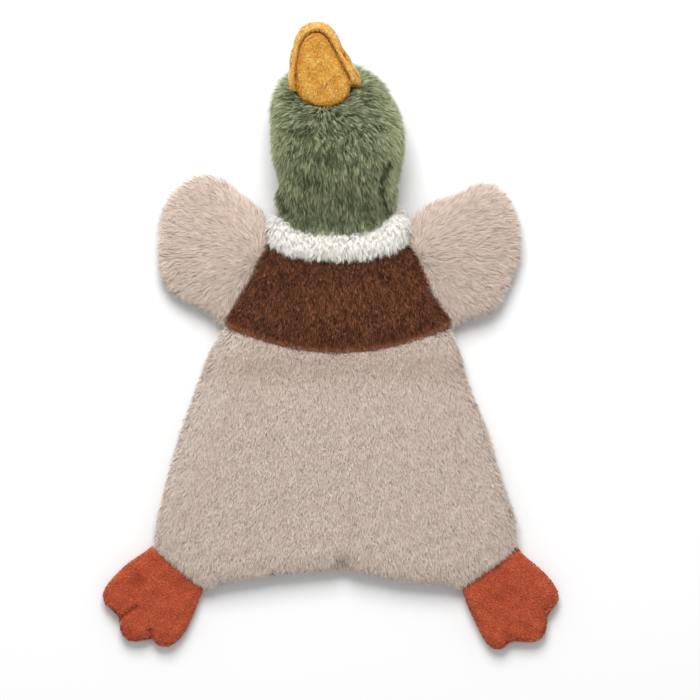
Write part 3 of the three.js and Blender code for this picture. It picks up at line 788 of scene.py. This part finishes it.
head_tugs = [
    ((-40.0, 152.0), (3.5, 2.5, 0.0), 9.0),
    ((41.5, 153.0), (-5.0, 3.5, 0.0), 9.0),
    ((-38.5, 174.0), (2.2, 0.0, 0.0), 8.0),
    ((33.0, 172.0), (1.2, 0.0, 1.8), 5.0),
    ((19.0, 174.0), (0.0, 0.0, 1.5), 5.0),
    ((30.0, 147.0), (0.0, 5.0, 0.0), 10.0),
    ((-2.0, 141.0), (0.0, 2.2, 0.0), 20.0),
    ((-31.0, 229.5), (0.0, 0.0, 4.5), 7.0),
    ((16.5, 233.0), (0.0, 0.0, 5.5), 7.5),
]

# Lighter and darker places, as changes of the pile's tone, by where they lie in plan; some are painted light
# and painted shade

head_tones = {"all": -0.14, "edge": 0.5, "fringe": 0.25}
head_middle = -5.0 * mm
head_lit_edge = (22.0 * mm, 40.0 * mm)
head_fringe = (142.0 * mm, 152.0 * mm)
head_crease_shade_fade = 1.0 * mm
chest_tones = {"all": -0.13, "fringe": 0.9, "pale_patch": 0.12}
chest_hem = 67.5 * mm
chest_hem_rise = 17.0 * mm
chest_half = 71.0 * mm
chest_fringe = (1.0 * mm, 5.0 * mm)
pale_patch_place = np.array([3.0, 100.0]) * mm
pale_patch_size = np.array([34.0, 13.0]) * mm
body_tones = {"all": 0.13, "edge": 0.2, "band": -0.35}
body_shade_band = 58.0 * mm
body_shade_band_size = 9.0 * mm
body_top = 67.0 * mm
body_slant_share = 0.45
body_lit_edge = (52.0 * mm, 70.0 * mm)
body_crease_shade_fade = 6.0 * mm


def head_shade(points):
    """Painted light at the sides, painted shade in the creases, and lighter along the fringe over the collar.
    """
    edge = smooth_step(np.abs(points[:, 0] - head_middle), *head_lit_edge)
    fringe = 1 - smooth_step(points[:, 1], *head_fringe)
    tone = head_tones["all"] + head_tones["edge"] * edge + head_tones["fringe"] * fringe
    return tone - crease_dip(points, head_creases) / head_crease_shade_fade


def chest_shade(points):
    """Lighter along the hem and in a pale patch in the middle, darker elsewhere."""
    hem = chest_hem + chest_hem_rise * (points[:, 0] / chest_half) ** 2
    fringe = 1 - smooth_step(points[:, 1] - hem, *chest_fringe)
    pale_patch = np.exp(-(((points[:, :2] - pale_patch_place) / pale_patch_size) ** 2).sum(axis=1))
    return chest_tones["all"] + chest_tones["fringe"] * fringe + chest_tones["pale_patch"] * pale_patch


def body_shade(points):
    """Painted light along the left edge, painted shade in a band below the chest and in the creases."""
    band = np.exp(-((points[:, 1] - body_shade_band) / body_shade_band_size) ** 2)
    edge = smooth_step(-points[:, 0] + body_slant_share * (points[:, 1] - body_top), *body_lit_edge)
    tone = body_tones["all"] + body_tones["edge"] * edge + body_tones["band"] * band
    return tone - crease_dip(points, body_creases) / body_crease_shade_fade


fur_pad(
    ["body_front", "body_back"], body_flow, short_pile, taupe, taupe_knit, rides("body"),
    seed=11, creases=body_creases, shade=body_shade,
)
fur_pad(
    ["chest_front", "chest_back"], chest_flow, chest_pile, brown, brown_knit, waist,
    seed=101, tugs=chest_tugs, shade=chest_shade,
)
fur_pad(
    ["collar_front", "collar_back"], collar_flow, collar_pile, white, white_knit,
    rides("chest"), seed=201, voxel=fine_voxel, tugs=collar_tugs,
)
for side, flow, place, tugs, seed in (
    ("left", left_wing_flow, left_wing, left_wing_tugs, 301),
    ("right", right_wing_flow, right_wing, right_wing_tugs, 401),
):
    fur_pad(
        [f"{side}_wing_front", f"{side}_wing_back"], flow, wing_pile, taupe, taupe_knit,
        place, seed=seed, tugs=tugs,
    )


# Velour: short looped pile on the feet and the beak

velour_pile = {
    "length": 0.9 * mm, "width": 0.26 * mm, "steps": 2, "per_mm2": 6.0, "per_clump": 4, "pull": 0.4,
    "lean": 0.5, "bend": 1.2, "swirl": 1.2, "clump_swirl": 2.5, "strand_swirl": 0.6,
    "lift": 0.05, "clump_lift": 0.1, "strand_lift": 0.1, "clump_length": 0.1, "strand_tone": 0.1,
    "patch_tone": 0.08, "facing_share": 0.15, "level_share": 0.5,
}
velour_tones = {"clump_tone": 0.26, "side_light_tone": 0.5}
rim_tones = {"length": 0.6 * mm, "clump_tone": 0.26, "side_light_tone": 0.5, "strand_tone": 0.2}
foot_tones = {"clump_tone": 0.1, "side_light_tone": 0.8, "level_share": 0.7}
velour_depth = 0.45 * mm
velour_cloth_thickness = 1.0 * mm
sole_density_share = 0.6
filling_inset = 1.3 * mm
foot_voxel = 1.0 * mm
foot_floor = 0.6 * mm
foot_sink = 0.6 * mm
foot_lump = 0.45 * mm
foot_lump_size = 11.0 * mm
foot_top_shares = (0.2, 0.8)
foot_side_share = -0.2
foot_crease_shade_fade = 5.0 * mm
row_size = 1.5 * mm
row_tone = 0.32
row_way = np.array([0.5, 0.87])
row_bend = 0.5 * mm
row_bend_size = 16.0 * mm


def dress_velour(
    node, points, triangles, material, cloth, place, seed, density_share=1.0, shade=None,
    tones=velour_tones,
):
    """A velour panel and its pile, which stand for one CAD node."""
    normals = normals_of(points, triangles)
    skin = cloth_piece(f"{node}_cloth", points, triangles, velour_cloth_thickness)
    dress(skin, cloth)
    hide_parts(node)
    place(skin)
    kind = {**velour_pile, **tones, "per_mm2": velour_pile["per_mm2"] * density_share}
    grown = fur_pieces(
        f"{node}_pile", points, normals, triangles, body_flow, kind, material, seed, shade=shade
    )
    for piece in grown:
        place(piece)


def stuff(name, points, triangles, place):
    """The filling of a pad, which stands for its CAD wadding."""
    filling = mesh_piece(f"{name}_filling", points, triangles)
    dress(filling, fibre)
    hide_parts(f"{name}_wadding")
    place(filling)


def knit_rows(points, seed):
    """The rows of the knit, which show through the pile as fine diagonal lines."""
    across = points[:, :2] @ row_way + row_bend * waves(points, row_bend_size, seed + 9)
    return row_tone * np.sin(across * (2 * math.pi / row_size))


def foot(side, place, creases, seed):
    panels = [f"{side}_foot_top", f"{side}_foot_sole"]
    points, edges, triangles = voxel_skin(panels, foot_voxel)
    points = smoothed(points, edges, skin_rounds)
    owner = nearest_panel(points[triangles].mean(axis=1), panels)
    normals = normals_of(points, triangles)
    top = smooth_step(normals[:, 2], *foot_top_shares)
    lump = foot_lump * waves(points, foot_lump_size, seed) - foot_sink
    dip = crease_dip(points, creases) * (normals[:, 2] > foot_side_share)
    points = points - normals * (velour_depth - lump * top + dip)[:, None]
    points[:, 2] = np.maximum(points[:, 2], foot_floor)
    stuff(f"{side}_foot", points - filling_inset * normals_of(points, triangles), triangles, place)

    # The knit's rows, and painted shade in the creases
    def shade(roots):
        return knit_rows(roots, seed) - crease_dip(roots, creases) / foot_crease_shade_fade

    for number, (panel, density_share) in enumerate(zip(panels, (1.0, sole_density_share))):
        dress_velour(
            panel, points, triangles[owner == number], rust_pile, rust, place,
            seed + seed_step * number, density_share, shade, foot_tones,
        )


left_foot_creases = [
    ([(-139.0, -103.5), (-133.0, -99.5), (-128.5, -96.5)], 2.4 * mm, 1.8 * mm),
    ([(-119.2, -116.0), (-120.0, -111.5)], 2.6 * mm, 1.8 * mm),
    ([(-131.0, -88.0), (-127.0, -80.0)], 1.0 * mm, 5.0 * mm),
    ([(-98.0, -80.5), (-94.0, -84.5)], 1.3 * mm, 4.0 * mm),
]
right_foot_creases = [
    ([(109.2, -118.0), (108.5, -114.5)], 1.0 * mm, 2.4 * mm),
    ([(133.6, -101.0), (131.5, -99.0)], 1.0 * mm, 2.4 * mm),
    ([(103.0, -92.0), (108.0, -88.0)], 1.0 * mm, 5.0 * mm),
]
foot("left", left_foot, left_foot_creases, 601)
foot("right", right_foot, right_foot_creases, 701)

# Beak: outlines in its own frame, which lies tilted on the chin

bill_place = np.array([-9.0, 224.2, 41.0]) * mm
bill_turn = math.radians(5)
bill_tilt = math.radians(8)
bill_length = 52.5 * mm
bill_half = 23.2 * mm
bill_root_shares = (1.06, -0.9)
bill_root = -2.0 * mm
bill_half_height = 5.5 * mm
tray_floor = 1.9 * mm
jaw_length = 45.8 * mm
jaw_half = 17.6 * mm
jaw_seam = 4.0 * mm
jaw_floor = 2.3 * mm
bill_middle = np.array([-0.5, 21.0]) * mm
bill_shares = [
    (-0.91, 0.19), (-0.93, 0.31), (-0.87, 0.45), (-0.8, 0.6), (-0.72, 0.72), (-0.62, 0.84), (-0.46, 0.945),
    (-0.23, 0.99), (0.03, 1.0), (0.27, 0.965), (0.45, 0.89), (0.57, 0.765), (0.68, 0.635), (0.82, 0.51),
    (0.96, 0.38), (1.08, 0.265), (1.08, 0.165),
]
jaw_shares = [
    (-0.54, 0.015), (-0.86, 0.12), (-0.93, 0.25), (-0.89, 0.415), (-0.81, 0.61), (-0.72, 0.75),
    (-0.55, 0.9), (-0.28, 0.98), (0.03, 1.0), (0.24, 0.945), (0.38, 0.85), (0.53, 0.705), (0.7, 0.545),
    (0.85, 0.4), (0.98, 0.27), (0.98, 0.13), (0.74, 0.02), (0.4, -0.03), (-0.04, -0.045),
]

# Its cloths, built from rings between the outlines, from the edge inwards
bill_steps = 260
corner_rounds = 3
corner_cut_share = 0.25
bill_density_share = 1.3
bill_lump_size = 9.0 * mm
centre_share = 0.02
edge_rings = 12
roll_rings = 40
roll_power = 1.25
roll_rounds = 5
rim_free_span = (3.0 * mm, 10.0 * mm)
rim_sunk = 5.0 * mm
rim_sunk_span = (4.0 * mm, 15.0 * mm)
rim_least = 1.0 * mm
rim_flat_share = 0.35
right_band_span = (-44.0 * mm, -33.0 * mm)
left_band_span = (-30.0 * mm, -18.0 * mm)
left_band_share = 0.8
tray_shares = (0.96, 0.9, 0.75, 0.5, 0.25, centre_share)
crest_inset = 6.5 * mm
crest_shares = (0.85, 0.65, 0.4, centre_share)
chin_inset = 5.5 * mm
chin_crown = 7.8 * mm
chin_rise = 0.5 * mm
chin_drop = 3.0 * mm
chin_drop_span = (8.0 * mm, 46.0 * mm)
chin_power = 0.8
chin_shares = np.linspace(0.93, centre_share, 14)
lining_inset = 2.2 * mm
lining_profile = ((0.0, jaw_seam), (0.3 * mm, 3.2 * mm), (1.0 * mm, 2.6 * mm), (lining_inset, jaw_floor))
lining_shares = (0.8, 0.5, 0.2, centre_share)
jaw_gap = 0.15 * mm
jaw_crease_shade_size = 1.7 * mm
outline_step = 4  # of the jaw's outline, this often a point is close enough to measure from
# Painted shade in the crease round the jaw: darker pile on the rim and the chin near the jaw's outline
rim_crease_shade_tones = {"all": 0.1, "crease": -1.1}
chin_crease_shade_tones = {"all": -0.08, "crease": -0.5}
filling_top_inset = 2.5 * mm
filling_root_share = 0.7
filling_shares = np.linspace(centre_share, 1.0, 6)


def to_beak(u, v, w):
    """From the beak's own frame to the model's."""
    along = v * math.cos(bill_tilt) - w * math.sin(bill_tilt)
    return bill_place + np.stack([
        u * math.cos(bill_turn) - along * math.sin(bill_turn),
        u * math.sin(bill_turn) + along * math.cos(bill_turn),
        v * math.sin(bill_tilt) + w * math.cos(bill_tilt),
    ], axis=-1)


def rounded(corners):
    """A closed outline with its corners cut round."""
    for _ in range(corner_rounds):
        side = corner_cut_share * (np.roll(corners, -1, axis=0) - corners)
        corners = np.stack([corners + side, np.roll(corners, -1, axis=0) - side], axis=1).reshape(-1, 2)
    return corners


def radii(outline, angles):
    """Distance of a closed outline from the beak's middle, at each angle."""
    way = outline - bill_middle
    turn = np.arctan2(way[:, 1], way[:, 0])
    order = np.argsort(turn)
    return np.interp(angles, turn[order], np.linalg.norm(way, axis=1)[order], period=2 * math.pi)


def ring_points(radius, height):
    u = bill_middle[0] + radius * np.cos(angles)
    v = bill_middle[1] + radius * np.sin(angles)
    return to_beak(u, v, np.broadcast_to(height, u.shape))


def ring_faces(rings, flip):
    """Triangles between rings of equal length, one after another."""
    first = np.arange(rings - 1)[:, None] * bill_steps
    here = np.arange(bill_steps)[None]
    after = (here + 1) % bill_steps
    a, b = (first + here).ravel(), (first + after).ravel()
    c, d = b + bill_steps, a + bill_steps
    triangles = np.concatenate([np.stack([a, b, c], axis=1), np.stack([a, c, d], axis=1)])
    return triangles[:, ::-1] if flip else triangles


angles = np.linspace(-math.pi, math.pi, bill_steps, endpoint=False)
rim_corners = [(bill_half * x, bill_length * y) for x, y in bill_shares]
rim_corners += [(bill_half * x, bill_root) for x in bill_root_shares]
rim_radius = radii(rounded(np.array(rim_corners)), angles)
jaw_radius = radii(rounded(np.array([(jaw_half * x, jaw_length * y) for x, y in jaw_shares])), angles)
rim_u = bill_middle[0] + rim_radius * np.cos(angles)
rim_v = bill_middle[1] + rim_radius * np.sin(angles)

# The rim's ends go down into the head, under the jaw's chin seam
rim_free = smooth_step(rim_v, *rim_free_span)
rim_radius = rim_free * rim_radius + (1 - rim_free) * np.minimum(rim_radius, jaw_radius - rim_least)
rim_sink = rim_sunk * (1 - smooth_step(rim_v, *rim_sunk_span))

# The rim is one roll at the tip, and two bands where its outer seam shows. Rows: a share of the way from
# the outer edge to the tray, and the heights there in millimetres of the plain and of the banded rim
roll_profile = [
    (0.0, 0.0, 0.0), (0.015, 1.3, 0.9), (0.05, 2.4, 1.9), (0.1, 3.3, 2.7), (0.16, 4.0, 3.1), (0.22, 4.5, 3.3),
    (0.28, 4.9, 3.0), (0.32, 5.1, 2.7), (0.36, 5.25, 3.0), (0.42, 5.4, 3.6), (0.5, 5.5, 4.6), (0.6, 5.5, 5.2),
    (0.7, 5.2, 5.2), (0.8, 4.6, 4.6), (0.88, 3.8, 3.8), (0.94, 2.9, 2.9), (0.98, 2.2, 2.2), (1.0, 1.9, 1.9),
]
right_band = smooth_step(-rim_v, *right_band_span) * (rim_u > 0)
left_band = left_band_share * smooth_step(-rim_v, *left_band_span) * (rim_u < 0)
band = right_band + left_band
tray_radius = np.minimum(jaw_radius + jaw_gap, rim_radius - rim_least)


def eased(line):
    """A row of heights without its kinks."""
    for _ in range(roll_rounds):
        line = np.concatenate([line[:1], (line[:-2] + 2 * line[1:-1] + line[2:]) / 4, line[-1:]])
    return line


roll_share, roll_plain, roll_banded = np.array(roll_profile).T
ring_shares = np.linspace(0, 1, roll_rings) ** roll_power
palate_rings = []
for share, plain, banded in zip(
    ring_shares,
    eased(np.interp(ring_shares, roll_share, roll_plain)),
    eased(np.interp(ring_shares, roll_share, roll_banded)),
):
    roll = (plain * (1 - band) + banded * band) * mm
    height = roll * (rim_flat_share + (1 - rim_flat_share) * rim_free) - rim_sink * (1 - share)
    palate_rings.append(ring_points(rim_radius + (tray_radius - rim_radius) * share, height))
for share in tray_shares:
    palate_rings.append(ring_points(tray_radius * share, tray_floor))
crest_rings = []
for turn in np.linspace(0, math.pi / 2, edge_rings):
    inset = crest_inset * (1 - math.cos(turn))
    height = -np.maximum(bill_half_height * math.sin(turn), rim_sink)
    crest_rings.append(ring_points(rim_radius - inset, height))
for share in crest_shares:
    crest_rings.append(ring_points((rim_radius - crest_inset) * share, -bill_half_height))
chin_rings = []
for turn in np.linspace(0, math.pi / 2, edge_rings):
    inset = chin_inset * (1 - math.cos(turn))
    v = bill_middle[1] + (jaw_radius - inset) * np.sin(angles)
    crown = chin_crown - chin_drop * smooth_step(v, *chin_drop_span)
    height = jaw_seam + (crown - jaw_seam) * math.sin(turn) ** chin_power
    chin_rings.append(ring_points(jaw_radius - inset, height))
for share in chin_shares:
    radius = (jaw_radius - chin_inset) * share
    v = bill_middle[1] + radius * np.sin(angles)
    crown = chin_crown + chin_rise * (1 - share) - chin_drop * smooth_step(v, *chin_drop_span)
    chin_rings.append(ring_points(radius, crown))
lining_rings = [ring_points(jaw_radius - inset, height) for inset, height in lining_profile]
for share in lining_shares:
    lining_rings.append(ring_points((jaw_radius - lining_inset) * share, jaw_floor))


def bill_piece(node, rings, flip, place, seed, lump, shade=None, pile=yellow_pile, tones=velour_tones):
    """One cloth of the beak, and the surface that its pile reaches."""
    points = np.concatenate(rings)
    triangles = ring_faces(len(rings), flip)
    normals = normals_of(points, triangles)
    backing = points + normals * (lump * waves(points, bill_lump_size, seed) - velour_depth)[:, None]
    dress_velour(
        node, backing, triangles, pile, yellow, place, seed,
        bill_density_share, shade, tones,
    )
    return points, triangles


on_head = rides("head")
on_jaw = rides("lower_bill")


def jaw_nearness(points):
    """1 along the jaw's outline, falling to 0 a little way off, in plan."""
    outline = ring_points(jaw_radius, jaw_seam)[::outline_step, :2]
    away = np.array([np.linalg.norm(outline - point, axis=1).min() for point in points[:, :2]])
    return np.exp(-(away / jaw_crease_shade_size) ** 2)


# Painted shade in the crease round the jaw, on the rim and on the chin
def rim_shade(points):
    return rim_crease_shade_tones["all"] + rim_crease_shade_tones["crease"] * jaw_nearness(points)


def chin_shade(points):
    return chin_crease_shade_tones["all"] + chin_crease_shade_tones["crease"] * jaw_nearness(points)


palate = bill_piece(
    "upper_bill_palate", palate_rings, False, on_head, 801, 0.2 * mm, rim_shade, rim_pile, rim_tones
)
crest = bill_piece(
    "upper_bill_crest", crest_rings, True, on_head, 831, 0.3 * mm, None, rim_pile, rim_tones
)
chin = bill_piece("lower_bill_chin", chin_rings, False, on_jaw, 861, 0.25 * mm, chin_shade)
lining = bill_piece("lower_bill_lining", lining_rings, True, on_jaw, 891, 0.0)
filling_rings = []
for inset, height, shares in (
    (filling_top_inset, tray_floor - filling_inset, filling_shares),
    (crest_inset, filling_inset - bill_half_height, filling_shares[::-1]),
):
    for share in shares:
        narrowing = filling_root_share + (1 - filling_root_share) * rim_free
        filling_rings.append(ring_points((rim_radius - inset) * narrowing * share, height))
stuff("upper_bill", np.concatenate(filling_rings), ring_faces(len(filling_rings), True), on_head)

fur_pad(
    ["head_chin_panel", "head_crown_panel"], head_flow, head_pile, green, green_knit, neck,
    seed=501, voxel=fine_voxel, creases=head_creases, tugs=head_tugs, shade=head_shade,
    clear_of=[
        (joined([palate, crest]), bill_margin), (joined([chin, lining]), bill_margin),
        (cad_shape(["left_eye"]), eye_margin), (cad_shape(["right_eye"]), eye_margin),
    ],
)

# What stays from the CAD model, with its material

kept = {
    "polyester_fibre": fibre,
    "crinkle_film": film,
    "white_plastic": plastic,
    "black_plastic": black,
}
for row in subparts:
    if row["material_slot"] in kept:
        dress(frame["nodes"][row["node"]], kept[row["material_slot"]])

# Floor, lamps and camera

floor_corners = floor_half * np.array([(-1, -1, 0), (1, -1, 0), (1, 1, 0), (-1, 1, 0)])
floor = mesh_piece("floor", floor_corners, np.array([(0, 1, 2, 3)]))
floor_material, _, floor_shader = plain_material("pale_floor", soft_roughness)
floor_shader.inputs["Base Color"].default_value = (*floor_colour, 1.0)
floor_shader.inputs["Specular IOR Level"].default_value = 0.0
dress(floor, floor_material)

world = bpy.data.worlds.new("studio")
bpy.context.scene.world = world
world.use_nodes = True
world.node_tree.nodes["Background"].inputs["Color"].default_value = (1.0, 1.0, 1.0, 1.0)
world.node_tree.nodes["Background"].inputs["Strength"].default_value = world_level

lamp = bpy.data.lights.new("key", "AREA")
lamp.size = key_size
lamp.energy = key_power
key = link(bpy.data.objects.new("key", lamp))
key.location = key_place
key.rotation_euler = (Vector(key_aim) - Vector(key_place)).to_track_quat("-Z", "Y").to_euler()
key.visible_camera = False

camera_data = bpy.data.cameras.new("camera")
camera_data.sensor_width = sensor_width
camera_data.lens = sensor_width * camera_height / view_width
camera_data.clip_end = camera_reach
camera = link(bpy.data.objects.new("camera", camera_data))
camera.location = (*view_centre, camera_height)
bpy.context.scene.camera = camera
bpy.context.scene.view_settings.view_transform = "Standard"
